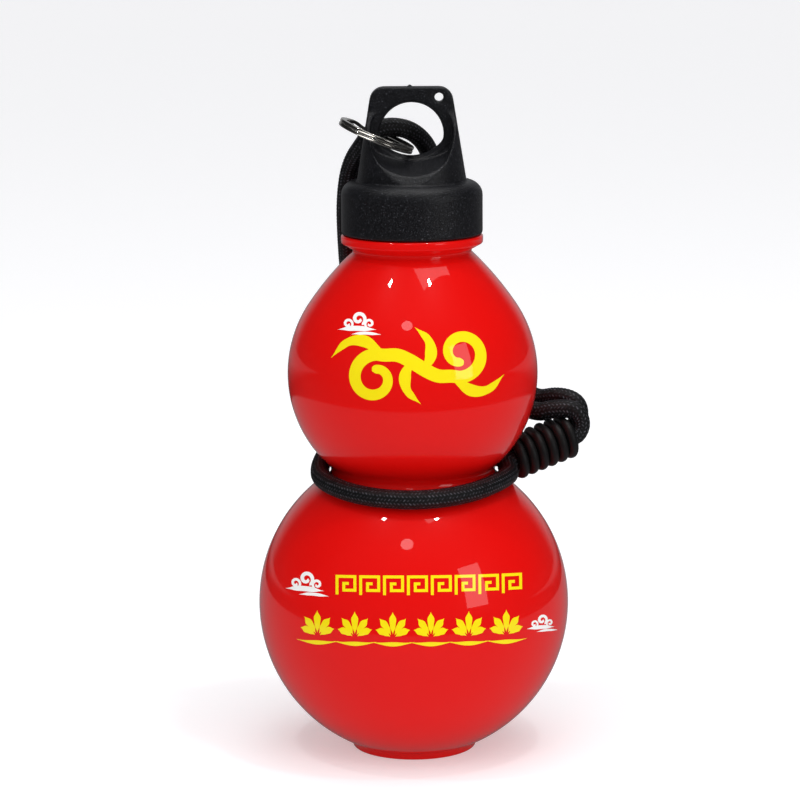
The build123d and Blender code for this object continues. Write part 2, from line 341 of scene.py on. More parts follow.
@dataclass(frozen=True)
class BraidedPolyester:
    """Black polyester yarn braided two over two: matte black, with each float's crown painted lighter as a
    painted highlight, up to a small painted glint at its top.
    """

    colour: str = "#030304"
    painted_lit_float_colour: str = "#08080A"
    painted_glint_colour: str = "#5A5A62"
    roughness: float = 0.5
    glint_patch_spacing: float = 0.9
    glint_patch_span: FlatPoint = (0.3, 0.7)
    glint_dimming: float = 0.22
    thread_count: float = 5.0
    thread_height: float = 0.02
    thread_strength: float = 0.6

    def make(self) -> Material:
        """Makes the material. The mesh stores the place along and across each float in its Braid map.

        Returns:
            The material.
        """
        material, tree = new_tree("black braided polyester")
        braid = add_node(tree, "ShaderNodeUVMap", {"uv_map": "Braid"}).outputs["UV"]
        across = add_node(tree, "ShaderNodeSeparateXYZ", inputs={"Vector": braid}).outputs["X"]
        crown = add_node(tree, "ShaderNodeVertexColor", {"layer_name": "Crown"}).outputs["Color"]
        # A noise dims the crowns' painted glints unevenly from place to place.
        place = add_node(tree, "ShaderNodeTexCoord").outputs["Object"]
        scale = {"Vector": place, "Scale": 1 / (self.glint_patch_spacing * MM), "Detail": 1.0}
        patch = add_node(tree, "ShaderNodeTexNoise", inputs=scale).outputs["Fac"]
        start, end = self.glint_patch_span
        span = {"Value": patch, "From Min": start, "From Max": end, "To Min": 1 - self.glint_dimming, "To Max": 1.0}
        uneven_glint = add_node(tree, "ShaderNodeMapRange", inputs=span).outputs["Result"]
        times = {"operation": "MULTIPLY"}
        lit = add_node(tree, "ShaderNodeMath", times, {0: crown, 1: uneven_glint}).outputs["Value"]
        # Painted highlight: the floats' crowns are tinted lighter than the yarn's black, and their tops get a
        # pale painted glint.
        tint = add_node(tree, "ShaderNodeValToRGB", inputs={"Fac": lit})
        set_ramp(tint, [(0.35, self.colour), (0.72, self.painted_lit_float_colour), (0.96, self.painted_glint_colour)])
        turns = add_node(tree, "ShaderNodeMath", times, {0: across, 1: self.thread_count * FULL_TURN})
        ridges = add_node(tree, "ShaderNodeMath", {"operation": "SINE"}, {0: turns.outputs["Value"]})
        threads = {
            "Strength": self.thread_strength,
            "Distance": self.thread_height * MM,
            "Height": ridges.outputs["Value"],
        }
        normal = add_node(tree, "ShaderNodeBump", inputs=threads).outputs["Normal"]
        surface(tree, {"Base Color": tint.outputs["Color"], "Roughness": self.roughness, "Normal": normal})
        return material


@dataclass(frozen=True)
class ExtrudedBlackCord:
    """Extruded soft cord of thermoplastic rubber: smooth matte black with a faintly uneven skin."""

    colour: str = "#0B0B0C"
    roughness: float = 0.52
    skin_spacing: float = 0.5
    skin_height: float = 0.008

    def make(self) -> Material:
        """Makes the material.

        Returns:
            The material.
        """
        material, tree = new_tree("black extruded thermoplastic rubber")
        _, normal = grain(tree, self.skin_spacing, self.skin_height, Detail=2.0)
        surface(tree, {"Base Color": linear(self.colour), "Roughness": self.roughness, "Normal": normal})
        return material


@dataclass(frozen=True)
class PressedSilicone:
    """Compression-moulded silicone: milky, soft and slightly see-through at its edge."""

    colour: str = "#E4E4DE"
    roughness: float = 0.55
    see_through: float = 0.2
    depth: float = 1.0
    grain_spacing: float = 0.6
    grain_height: float = 0.01

    def make(self) -> Material:
        """Makes the material.

        Returns:
            The material.
        """
        material, tree = new_tree("milky compression-moulded silicone")
        _, normal = grain(tree, self.grain_spacing, self.grain_height, Detail=2.0)
        inputs = {
            "Base Color": linear(self.colour),
            "Roughness": self.roughness,
            "Subsurface Weight": self.see_through,
            "Subsurface Scale": self.depth * MM,
            "Normal": normal,
        }
        surface(tree, inputs)
        return material


def new_object(
    name: str,
    points: Sequence[Sequence[float]],
    faces: Sequence[Face],
    material: Material,
    smooth: bool = True,
) -> Object:
    """Makes a mesh object and links it to the scene.

    Args:
        name: The object's name.
        points: The vertices in metres.
        faces: The faces as vertex numbers.
        material: Its material.
        smooth: Whether the faces are shaded smooth.

    Returns:
        The new object.
    """
    mesh = bpy.data.meshes.new(name)
    mesh.from_pydata([tuple(point) for point in points], [], faces)
    mesh.polygons.foreach_set("use_smooth", [smooth] * len(mesh.polygons))
    mesh.materials.append(material)
    mesh.update()
    made = bpy.data.objects.new(name, mesh)
    bpy.context.scene.collection.objects.link(made)
    return made


def grid_faces(rows: int, columns: int, wrap_rows: bool = False, wrap_columns: bool = False) -> list[Face]:
    """Makes the quads of a grid of points.

    Args:
        rows: The number of rows.
        columns: The number of points in each row.
        wrap_rows: Whether the last row joins the first.
        wrap_columns: Whether each row closes on itself.

    Returns:
        The faces.
    """
    faces = []
    for row in range(rows if wrap_rows else rows - 1):
        near, far = row * columns, (row + 1) % rows * columns
        for column in range(columns if wrap_columns else columns - 1):
            beside = (column + 1) % columns
            faces.append((near + column, near + beside, far + beside, far + column))
    return faces


def tube_faces(rings: int, around: int, clockwise: bool = False) -> list[Face]:
    """Makes the faces of a closed tube: its wall and a flat face at each end.

    Args:
        rings: The number of rings of points.
        around: The number of points in each ring.
        clockwise: Whether the rings run clockwise, seen from the tube's far end.

    Returns:
        The faces, turned outward.
    """
    faces = grid_faces(rings, around, wrap_columns=True)
    faces.append(tuple(reversed(range(around))))
    faces.append(tuple(range((rings - 1) * around, rings * around)))
    return [tuple(reversed(face)) for face in faces] if clockwise else faces


def spaced(line: Sequence[Vector], step: float) -> list[Vector]:
    """Spreads points evenly along a line.

    Args:
        line: The line's points.
        step: The spacing wished for.

    Returns:
        Points from its start to its end, evenly spread.
    """
    lengths = [0.0]
    for before, after in zip(line, line[1:]):
        lengths.append(lengths[-1] + (after - before).length)
    count = max(2, round(lengths[-1] / step))
    out, at = [], 0
    for index in range(count + 1):
        wanted = lengths[-1] * index / count
        while at < len(line) - 2 and lengths[at + 1] < wanted:
            at += 1
        span = lengths[at + 1] - lengths[at]
        share = (wanted - lengths[at]) / span if span else 0.0
        out.append(line[at].lerp(line[at + 1], min(1.0, share)))
    return out


def frames_along(line: Sequence[Vector]) -> list[tuple[Vector, Vector]]:
    """Carries a frame along a line without twist.

    Args:
        line: The line's points.

    Returns:
        Two unit vectors across the line at each point.
    """
    frames = []
    last = len(line) - 1
    ahead = (line[1] - line[0]).normalized()
    side = ahead.orthogonal().normalized()
    for index, _ in enumerate(line):
        now = (line[min(index + 1, last)] - line[max(index - 1, 0)]).normalized()
        side = ahead.rotation_difference(now) @ side
        side = (side - now * side.dot(now)).normalized()
        ahead = now
        frames.append((side, now.cross(side)))
    return frames


def round_tube(name: str, line: Sequence[Vector], radius: float, around: int, material: Material) -> Object:
    """Makes a round tube with domed ends along a line.

    Args:
        name: The object's name.
        line: The centreline in metres.
        radius: The tube's radius in metres.
        around: The number of points round it.
        material: Its material.

    Returns:
        The tube.
    """
    frames = frames_along(line)
    dome = [math.pi / 2 * step / DOME_RINGS for step in range(DOME_RINGS, 0, -1)]
    stations = [(0, -angle) for angle in dome]
    stations += [(index, 0.0) for index in range(len(line))]
    stations += [(len(line) - 1, angle) for angle in reversed(dome)]
    points = []
    for index, angle in stations:
        side, up = frames[index]
        middle = line[index] + side.cross(up) * math.sin(angle) * radius
        ring_r = max(math.cos(angle), DOME_TIP) * radius
        for step in range(around):
            turn = FULL_TURN * step / around
            points.append(middle + (side * math.cos(turn) + up * math.sin(turn)) * ring_r)
    return new_object(name, points, tube_faces(len(stations), around), material)


@dataclass
class BottleBody:
    """The two-bulb shell as a turned mesh, fine enough for clean reflections, with its screw ridge."""

    lower_r: float = 50.0
    upper_r: float = 40.0
    lower_z: float = 47.826
    upper_z: float = 122.826
    wall: float = 1.5
    foot_r: float = 20.0
    foot_inner_r: float = 16.8
    foot_round: float = 0.7
    foot_drop: float = 2.0
    base_rise: float = 3.6
    base_edge_in: float = 1.0
    base_edge_rise: float = 0.42
    base_steps: int = 23
    waist_fillet: float = 2.5
    shoulder_height: float = 22.4
    neck_r: float = 19.0
    neck_root_z: float = 162.026
    neck_groove: float = 1.0
    flange_r: float = 22.6
    flange_bottom_z: float = 165.026
    flange_top_z: float = 167.626
    flange_round: float = 0.8
    finish_r: float = 18.0
    mouth_z: float = 181.426
    mouth_r: float = 16.0
    rim_round: float = 0.4
    thread_pitch: float = 4.0
    thread_depth: float = 1.6
    thread_root: float = 2.3
    thread_crest: float = 1.1
    thread_sink: float = 0.25
    thread_turns: float = 2.0
    thread_start: float = 2.9
    steps_a_turn: int = 96
    run_out_steps: int = 10
    run_out_height: float = 0.3
    pole_r: float = 0.01
    around: int = 288
    step: float = 0.8

    def arc(self, start: Vector, way: Vector, end: Vector) -> list[Vector]:
        """Draws an arc that leaves start along way and passes through end.

        Args:
            start: Where it starts, as radius and height.
            way: The unit direction there.
            end: Where it ends.

        Returns:
            Points on the arc after its start.
        """
        chord = end - start
        normal = Vector((-way.y, way.x))
        bulge = chord.dot(normal)
        if abs(bulge) < STRAIGHT:
            return [end]
        radius = chord.length_squared / (2 * bulge)
        centre = start + normal * radius
        turn = 2 * math.atan2(bulge, chord.dot(way))
        count = max(LEAST_ARC_STEPS, math.ceil(abs(turn * radius) / self.step))
        out = start - centre
        return [centre + Matrix.Rotation(turn * index / count, 2) @ out for index in range(1, count + 1)]

    def bulbs(self, inset: float, first: Vector) -> list[Vector]:
        """Draws both bulbs and the shoulder, from a point on the lower bulb to the neck's root.

        Args:
            inset: How far inside the outer surface the line lies.
            first: The point on the lower bulb that it starts from.

        Returns:
            The line's points.
        """
        lower, upper = Vector((0, self.lower_z)), Vector((0, self.upper_z))
        lower_reach, upper_reach = self.lower_r + self.waist_fillet, self.upper_r + self.waist_fillet
        spacing = self.upper_z - self.lower_z
        rise = (spacing**2 + lower_reach**2 - upper_reach**2) / (2 * spacing)
        waist = Vector((math.sqrt(lower_reach**2 - rise**2), self.lower_z + rise))
        lower_end = lower + (waist - lower).normalized() * (self.lower_r - inset)
        upper_start = upper + (waist - upper).normalized() * (self.upper_r - inset)
        bulb_r = self.upper_r - inset
        shoulder = self.shoulder_height * bulb_r / self.upper_r
        upper_end = upper + Vector((math.sqrt(bulb_r**2 - shoulder**2), shoulder))
        neck = Vector((self.neck_r if inset == 0 else self.mouth_r, self.neck_root_z))
        line = [first]
        for centre, end in ((lower, lower_end), (lower, upper_start), (upper, upper_end), (upper, neck)):
            out = line[-1] - centre
            line += self.arc(line[-1], Vector((-out.y, out.x)).normalized(), end)
        return line

    def rounded(self, before: Vector, corner: Vector, after: Vector, radius: float) -> list[Vector]:
        """Rounds a right-angled or slanted corner.

        Args:
            before: The point before the corner.
            corner: The corner.
            after: The point after it.
            radius: The round's radius.

        Returns:
            Points on the round.
        """
        back, ahead = (before - corner).normalized(), (after - corner).normalized()
        reach = radius / math.tan(back.angle(ahead) / 2)
        start, end = corner + back * reach, corner + ahead * reach
        return [start, *self.arc(start, -back, end)]

    def outline(self) -> list[Vector]:
        """Draws the wall's section, from the base's middle outside, over the rim, to its middle inside.

        Returns:
            Its points, as radius and height.
        """
        foot_bottom = Vector((self.foot_r, 0))
        foot_top = Vector((self.foot_r, self.foot_drop))
        inner_foot = Vector((self.foot_inner_r, 0))
        base_r = (self.foot_inner_r**2 + self.base_rise**2) / (2 * self.base_rise)
        base_edge = inner_foot + Vector((-self.base_edge_in, self.base_edge_rise))
        line = [Vector((self.pole_r, self.base_rise))]
        for index in range(1, self.base_steps + 1):
            radius = base_edge.x * index / self.base_steps
            line.append(Vector((radius, self.base_rise - base_r + math.sqrt(base_r**2 - radius**2))))
        line += self.rounded(line[-1], inner_foot, foot_bottom, self.foot_round)
        line += self.rounded(inner_foot, foot_bottom, foot_top, self.foot_round)
        line += self.bulbs(0, foot_top)
        groove_top = Vector((self.neck_r, self.neck_root_z + self.neck_groove))
        flange_low = Vector((self.flange_r, self.flange_bottom_z))
        flange_high = Vector((self.flange_r, self.flange_top_z))
        finish_foot = Vector((self.finish_r, self.flange_top_z))
        rim = Vector((self.finish_r, self.mouth_z))
        mouth = Vector((self.mouth_r, self.mouth_z))
        line.append(groove_top)
        line += self.rounded(groove_top, flange_low, flange_high, self.flange_round)
        line += self.rounded(flange_low, flange_high, finish_foot, self.flange_round)
        line.append(finish_foot)
        line += self.rounded(finish_foot, rim, mouth, self.rim_round)
        line.append(mouth)
        inner_depth = math.sqrt((self.lower_r - self.wall) ** 2 - self.pole_r**2)
        inside = self.bulbs(self.wall, Vector((self.pole_r, self.lower_z - inner_depth)))
        push_up = self.base_rise + self.wall
        line += [point for point in reversed(inside) if point.x > self.foot_inner_r or point.y > push_up]
        line.append(Vector((self.pole_r, push_up)))
        return line

    def ridge(self, material: Material) -> Object:
        """Makes the screw ridge that shows under the cap when it is unscrewed.

        Args:
            material: Its material.

        Returns:
            The ridge.
        """
        steps = round(self.thread_turns * self.steps_a_turn)
        half = (
            (-self.thread_sink, self.thread_root / 2),
            (0.0, self.thread_root / 2),
            (self.thread_depth, self.thread_crest / 2),
        )
        section = [(out, -up) for out, up in half] + list(reversed(half))
        points = []
        for index in range(steps + 1):
            turn = FULL_TURN * self.thread_turns * index / steps
            grown = min(1.0, index / self.run_out_steps, (steps - index) / self.run_out_steps)
            height = self.flange_top_z + self.thread_start + self.thread_pitch * turn / FULL_TURN
            for out, up in section:
                radius = self.finish_r + (out * grown if out > 0 else out)
                level = height + up * max(grown, self.run_out_height)
                points.append(Vector((radius * math.cos(turn), radius * math.sin(turn), level)) * MM)
        faces = tube_faces(steps + 1, len(section), clockwise=True)
        return new_object("neck_screw_ridge", points, faces, material, smooth=False)

    def build(self, material: Material) -> list[Object]:
        """Makes the shell and its ridge and puts them on the bottle.

        Args:
            material: Their material.

        Returns:
            The two pieces.
        """
        outline = self.outline()
        points = []
        for place in outline:
            for step in range(self.around):
                turn = FULL_TURN * step / self.around
                points.append(Vector((place.x * math.cos(turn), place.x * math.sin(turn), place.y)) * MM)
        faces = grid_faces(len(outline), self.around, wrap_rows=True, wrap_columns=True)
        shell = new_object("bottle_shell", points, faces, material)
        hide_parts("bottle_body")
        ridge = self.ridge(material)
        for piece in (shell, ridge):
            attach(piece, "bottle")
        return [shell, ridge]


@dataclass
class LoopCap:
    """The loop cap: the CAD shape with the soft edges that its mould gives."""

    voxel: float = 0.3
    softness: float = 0.5
    smoothing: int = 6
    loop_smoothing: int = 22
    loop_foot_z: float = 185.2
    loop_blend: float = 3.0

    def build(self, frame: dict[str, Any], material: Material) -> Object:
        """Makes the soft-edged cap.

        Args:
            frame: The loaded CAD frame.
            material: Its material.

        Returns:
            The cap.
        """
        mesh = frame["nodes"]["cap"].data.copy()
        cap = bpy.data.objects.new("loop_cap", mesh)
        bpy.context.scene.collection.objects.link(cap)
        remesh = cap.modifiers.new("even mesh", "REMESH")
        remesh.mode = "VOXEL"
        remesh.voxel_size = self.voxel * MM
        self.soften(cap, self.smoothing)
        group = cap.vertex_groups.new(name="loop")
        for vertex in cap.data.vertices:
            share = (vertex.co.z / MM - self.loop_foot_z) / self.loop_blend
            if share > 0:
                group.add([vertex.index], min(1.0, share), "REPLACE")
        self.soften(cap, self.loop_smoothing, group.name)
        cap.vertex_groups.clear()
        cap.data.materials.clear()
        cap.data.materials.append(material)
        cap.data.polygons.foreach_set("use_smooth", [True] * len(cap.data.polygons))
        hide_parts("cap")
        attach(cap, "cap")
        return cap

    def soften(self, cap: Object, iterations: int, group: str = "") -> None:
        """Smooths the cap's mesh and keeps the result.

        Args:
            cap: The cap.
            iterations: How often it is smoothed.
            group: The vertex group that limits it, or none.
        """
        soft = cap.modifiers.new("soft edges", "SMOOTH")
        soft.factor = self.softness
        soft.iterations = iterations
        soft.vertex_group = group
        graph = bpy.context.evaluated_depsgraph_get()
        made = bpy.data.meshes.new_from_object(cap.evaluated_get(graph))
        cap.modifiers.clear()
        cap.data = made


@dataclass
class SplitRing:
    """The split ring: flat wire with rounded edges in two turns, with a step from one to the other."""

    outer_r: float = 12.5
    width: float = 2.0
    wire: float = 1.1
    gap: float = 0.12
    tilt: float = 22.5
    centre: Point = (-11.1, 0.0, 198.926)
    jog: float = 16.0
    jog_azimuth: float = 120.0
    corner: float = 0.32
    corner_steps: int = 4
    around: int = 160

    def section(self) -> list[FlatPoint]:
        """Draws the wire's section: a rectangle with round corners.

        Returns:
            Its points, across and up from its middle.
        """
        half_width, half_height = self.width / 2 - self.corner, self.wire / 2 - self.corner
        points = []
        for quarter, (x, z) in enumerate(((1, 1), (-1, 1), (-1, -1), (1, -1))):
            for index in range(self.corner_steps + 1):
                angle = math.pi / 2 * (quarter + index / self.corner_steps)
                across, up = self.corner * math.cos(angle), self.corner * math.sin(angle)
                points.append((x * half_width + across, z * half_height + up))
        return points

    def build(self, material: Material) -> Object:
        """Makes the ring.

        Args:
            material: Its material.

        Returns:
            The ring.
        """
        middle_r = self.outer_r - self.width / 2
        jog = math.radians(self.jog)
        start = math.radians(self.jog_azimuth + self.jog)
        sweep = 2 * FULL_TURN - 2 * jog
        jog_start = FULL_TURN - 2 * jog
        count = 2 * self.around
        tilt = Matrix.Rotation(math.radians(self.tilt), 3, "Y")
        section = self.section()
        points = []
        for index in range(count + 1):
            turn = sweep * index / count
            share = min(1.0, max(0.0, (turn - jog_start) / (2 * jog)))
            height = -(self.wire + self.gap) / 2 * math.cos(math.pi * share)
            angle = start + turn
            for across, up in section:
                radius = middle_r + across
                flat = Vector((radius * math.cos(angle), radius * math.sin(angle), height + up))
                points.append((Vector(self.centre) + tilt @ flat) * MM)
        faces = tube_faces(count + 1, len(section), clockwise=True)
        ring = new_object("split_ring_wire", points, faces, material)
        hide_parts("split_ring")
        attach(ring, "ring")
        return ring


@dataclass
class BraidedCord:
    """A round braided cord: strands that pass two over two, along a route of control points in metres."""

    name: str
    node: str
    route: tuple[Point, ...]
    length: float
    diameter: float = 6.0
    strands: int = 16
    pick: float = 1.1
    samples: int = 4
    strand_height: float = 0.2
    height_inside: float = 0.75
    seam_shift: FlatPoint = (0.001, 0.0005)
    spline_order: int = 3
    spline_resolution: int = 24

    def centreline(self) -> list[Vector]:
        """Reads the route's smooth line: an open spline whose control points are the route's.

        Returns:
            Its points, a sample apart.
        """
        curve = bpy.data.curves.new(self.name + "_line", "CURVE")
        curve.dimensions = "3D"
        curve.resolution_u = self.spline_resolution
        spline = curve.splines.new("NURBS")
        spline.points.add(len(self.route) - 1)
        for point, place in zip(spline.points, self.route):
            point.co = (*place, 1.0)
        spline.order_u = self.spline_order
        spline.use_endpoint_u = True
        holder = bpy.data.objects.new(self.name + "_line", curve)
        bpy.context.scene.collection.objects.link(holder)
        graph = bpy.context.evaluated_depsgraph_get()
        mesh = bpy.data.meshes.new_from_object(holder.evaluated_get(graph))
        line = [vertex.co.copy() for vertex in mesh.vertices]
        bpy.data.objects.remove(holder)
        bpy.data.meshes.remove(mesh)
        bpy.data.curves.remove(curve)
        return spaced(line, self.pick / self.samples * MM)

    def lift(self, across: float, along: float) -> float:
        """How far a float stands out at a place on the braid, from 0 to 1.

        Args:
            across: The place round the cord, in strands.
            along: The place along the cord, in picks.

        Returns:
            The height.
        """
        right, left = across - along, across + along
        row, column = math.floor(right), math.floor(left)
        # Of each four crossings, the strands of one way lie on top in two, and those of the other way in two.
        phase = (row + column) % 4
        if phase < 2:
            width_place, length_place = right - row, left - column + phase
        else:
            width_place, length_place = left - column, right - row + phase - 2
        across_curve = 1 - (2 * width_place - 1) ** 2
        along_curve = 1 - (length_place - 1) ** 4
        return math.sqrt(max(0.0, across_curve)) * max(0.0, along_curve)

    def build(self, material: Material) -> tuple[Object, list[Vector]]:
        """Makes the cord's braided tube.

        Args:
            material: Its material.

        Returns:
            The cord and its centreline.
        """
        line = self.centreline()
        around = self.strands * self.samples
        base_r = self.diameter / 2 - self.strand_height * self.height_inside
        shift_across, shift_along = self.seam_shift
        points, crowns = [], []
        for index, (side, up) in enumerate(frames_along(line)):
            along = index / self.samples + shift_along
            for step in range(around):
                height = self.lift(step / self.samples + shift_across, along)
                turn = FULL_TURN * step / around
                out = side * math.cos(turn) + up * math.sin(turn)
                points.append(line[index] + out * (base_r + self.strand_height * height) * MM)
                crowns.append(height)
        cord = new_object(self.name, points, tube_faces(len(line), around), material)
        self.map_braid(cord.data, around, crowns)
        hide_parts(self.node)
        return cord, line

    def map_braid(self, mesh: bpy.types.Mesh, around: int, crowns: Sequence[float]) -> None:
        """Stores the braid's map and the floats' crowns on the mesh; the material paints the crowns lighter
        as a painted highlight.

        Args:
            mesh: The cord's mesh.
            around: The number of points round it.
            crowns: Each point's height on its float.
        """
        colours = mesh.color_attributes.new("Crown", "FLOAT_COLOR", "POINT")
        greys = [value for height in crowns for value in (height, height, height, 1.0)]
        colours.data.foreach_set("color", greys)
        braid_map = mesh.uv_layers.new(name="Braid")
        for polygon in mesh.polygons:
            steps = [mesh.loops[loop].vertex_index % around for loop in polygon.loop_indices]
            wraps = max(steps) - min(steps) > around // 2
            for loop, step in zip(polygon.loop_indices, steps):
                row = mesh.loops[loop].vertex_index // around
                column = step + around if wraps and step < around // 2 else step
                across, along = column / self.samples, row / self.samples
                braid_map.data[loop].uv = (across - along, across + along)


@dataclass
class CinchWinding:
    """The smooth cord wound round the two strands: six slanted turns with domed ends."""

    start: Point = (33.859, 11.001, 93.211)
    azimuth: float = 18.0
    rise: float = 18.0
    strand_pitch: float = 6.1
    wire_d: float = 3.4
    wire_pitch: float = 3.55
    turns: float = 6.0
    clearance: float = 0.15
    cord_d: float = 6.0
    step: float = 0.5
    around: int = 28

    def build(self, material: Material) -> Object:
        """Makes the winding. Each half turn is a straight run across both strands and a bend round one.

        Args:
            material: Its material.

        Returns:
            The winding.
        """
        turn, rise = math.radians(self.azimuth), math.radians(self.rise)
        along = Vector((math.cos(rise) * math.cos(turn), math.cos(rise) * math.sin(turn), math.sin(rise)))
        across = Vector((-math.sin(turn), math.cos(turn), 0))
        up = along.cross(across)
        bend_r = self.cord_d / 2 + self.clearance + self.wire_d / 2
        straight = self.strand_pitch
        half_turn = straight + math.pi * bend_r
        count = round(2 * half_turn * self.turns / self.step)
        line = []
        for index in range(count + 1):
            half_turns = 2 * self.turns * index / count
            place = half_turns % 1 * half_turn
            side = -1 if half_turns % 2 >= 1 else 1
            angle = max(0.0, place - straight) / bend_r
            x = straight / 2 - min(place, straight) - bend_r * math.sin(angle)
            y = -bend_r * math.cos(angle)
            height = self.wire_pitch * (half_turns / 2 - 0.5)
            line.append((Vector(self.start) + across * x * side + up * y * side + along * height) * MM)
        winding = round_tube("cinch_winding", line, self.wire_d / 2 * MM, self.around, material)
        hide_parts("strap_winding")
        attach(winding, "winding")
        return winding


@dataclass(frozen=True)
class Stroke:
    """One printed stroke in a bulb's front view: millimetres right of and above the bulb's middle."""

    points: tuple[FlatPoint, ...]
    widths: tuple[float, ...]
    curved: bool = True
    curve_steps: int = 8

    def line(self, step: float) -> list[Vector]:
        """Spreads points along the stroke, a smooth or a straight line through its own points.

        Args:
            step: Their spacing in millimetres.

        Returns:
            The stroke's middle line.
        """
        places = [Vector(point) for point in self.points]
        out = []
        if not self.curved:
            for before, after in zip(places, places[1:]):
                count = max(1, round((after - before).length / step))
                out += [before.lerp(after, index / count) for index in range(count)]
            return [*out, places[-1]]
        padded = [2 * places[0] - places[1], *places, 2 * places[-1] - places[-2]]
        for a, b, c, d in zip(padded, padded[1:], padded[2:], padded[3:]):
            square, cube = 2 * a - 5 * b + 4 * c - d, 3 * b - a - 3 * c + d
            for index in range(self.curve_steps):
                t = index / self.curve_steps
                out.append(0.5 * (2 * b + (c - a) * t + square * t * t + cube * t * t * t))
        return spaced([*out, places[-1]], step)

    def width_at(self, share: float) -> float:
        """The stroke's width at a share of its length.

        Args:
            share: From 0 at its start to 1 at its end.

        Returns:
            The width in millimetres.
        """
        place = share * (len(self.widths) - 1)
        index = min(int(place), len(self.widths) - 2)
        blend = place - index
        blend = blend * blend * (3 - 2 * blend)
        return self.widths[index] * (1 - blend) + self.widths[index + 1] * blend


@dataclass
class Print:
    """A printed ornament on one bulb: strokes on the sphere, as the camera sees it, as a thin film of ink."""

    name: str
    bulb_r: float
    bulb_z: float
    strokes: list[Stroke]
    tilt: float = 10.3
    step: float = 0.5
    columns: int = 5
    film: float = 0.05
    sink: float = 0.04
    least_depth: float = 1.0
    blunt_end: float = 0.02
    mitre_limit: float = 0.5

    def on_bulb(self, place: Vector, lift: float) -> Vector:
        """Lays a point of the front view on the bulb.

        Args:
            place: Millimetres right of and above the bulb's middle.
            lift: How far above the surface it lies.

        Returns:
            The point in metres.
        """
        depth = math.sqrt(max(self.least_depth**2, self.bulb_r**2 - place.x**2 - place.y**2))
        out = Matrix.Rotation(math.radians(-self.tilt), 3, "X") @ Vector((place.x, -depth, place.y))
        out = out.normalized() * (self.bulb_r + lift)
        return (out + Vector((0, 0, self.bulb_z))) * MM

    def ribbon(self, stroke: Stroke) -> list[list[Vector]]:
        """Widens a stroke's line to rows of points across it, with mitred corners and round ends.

        Args:
            stroke: The stroke.

        Returns:
            The rows, in the front view.
        """
        line = stroke.line(self.step)
        shares = [2 * column / (self.columns - 1) - 1 for column in range(self.columns)]
        total = sum((after - before).length for before, after in zip(line, line[1:]))
        rows, travelled = [], 0.0
        for index, place in enumerate(line):
            before, after = line[max(index - 1, 0)], line[min(index + 1, len(line) - 1)]
            travelled += (place - before).length
            back = (place - before).normalized() if index else (after - place).normalized()
            ahead = (after - place).normalized() if index < len(line) - 1 else back
            mean = (back + ahead).normalized()
            normal = Vector((-mean.y, mean.x))
            half = stroke.width_at(travelled / total) / 2
            to_end = min(travelled, total - travelled)
            if stroke.curved and half > 0 and to_end < half:
                half *= math.sqrt(max(self.blunt_end, 1 - (1 - to_end / half) ** 2))
            reach = half / max(self.mitre_limit, mean.dot(back))
            rows.append([place + normal * reach * share for share in shares])
        return rows

    def build(self, material: Material) -> Object:
        """Makes the print.

        Args:
            material: The ink.

        Returns:
            The print.
        """
        points: list[Vector] = []
        faces: list[Face] = []
        for stroke in self.strokes:
            rows = self.ribbon(stroke)
            first = len(points)
            edge = [(row, 0) for row in range(len(rows))]
            edge += [(len(rows) - 1, column) for column in range(1, self.columns)]
            edge += [(row, self.columns - 1) for row in range(len(rows) - 2, -1, -1)]
            edge += [(0, column) for column in range(self.columns - 2, 0, -1)]
            points += [self.on_bulb(place, self.film) for row in rows for place in row]
            under = len(points)
            points += [self.on_bulb(place, -self.sink) for row in rows for place in row]
            quads = grid_faces(len(rows), self.columns)
            faces += [tuple(first + corner for corner in reversed(quad)) for quad in quads]
            faces += [tuple(under + corner for corner in quad) for quad in quads]
            for (row, column), (next_row, next_column) in zip(edge, edge[1:] + edge[:1]):
                here, there = row * self.columns + column, next_row * self.columns + next_column
                faces.append((first + there, first + here, under + here, under + there))
        made = new_object(self.name, points, faces, material, smooth=False)
        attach(made, "bottle")
        return made


